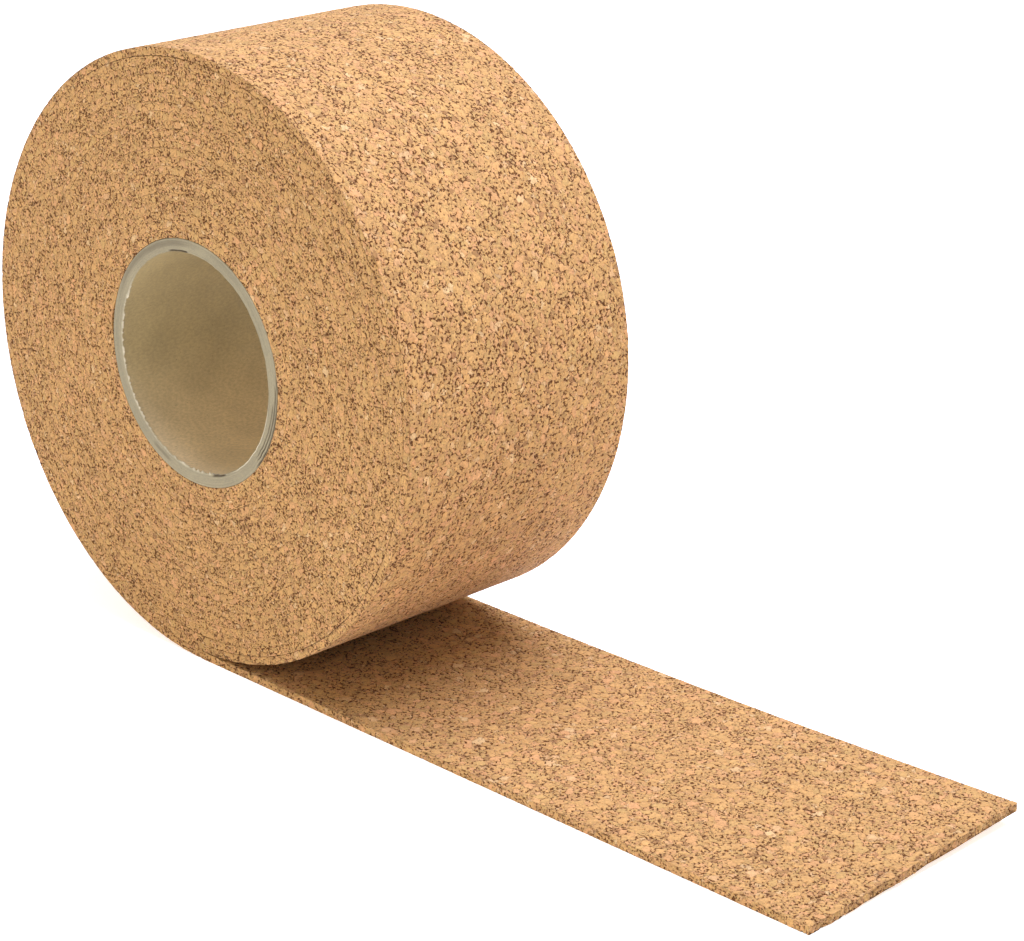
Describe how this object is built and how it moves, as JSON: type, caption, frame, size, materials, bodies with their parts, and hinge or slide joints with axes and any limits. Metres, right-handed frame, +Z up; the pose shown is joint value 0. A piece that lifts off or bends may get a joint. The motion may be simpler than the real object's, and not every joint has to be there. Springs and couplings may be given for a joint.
{
  "type": "cork underlayment roll",
  "caption": "Roll of agglomerated cork underlayment strip wound on a cardboard core, with its free end laid out flat along the floor.",
  "frame": {"origin": "on the axis of the core's bore, at the middle of the strip's width", "axes": "+Y along the bore, +Z up from the floor, +X along the floor towards the strip's free end"},
  "size_m": [0.3763, 0.1, 0.2125],
  "materials": {
    "cork": "agglomerated cork, bare, fine granules pressed together",
    "cardboard": "spiral-wound kraft cardboard tube, bare"
  },
  "bodies": {
    "root": {"cork_strip": "cork", "core_tube": "cardboard"}
  },
  "joints": []
}
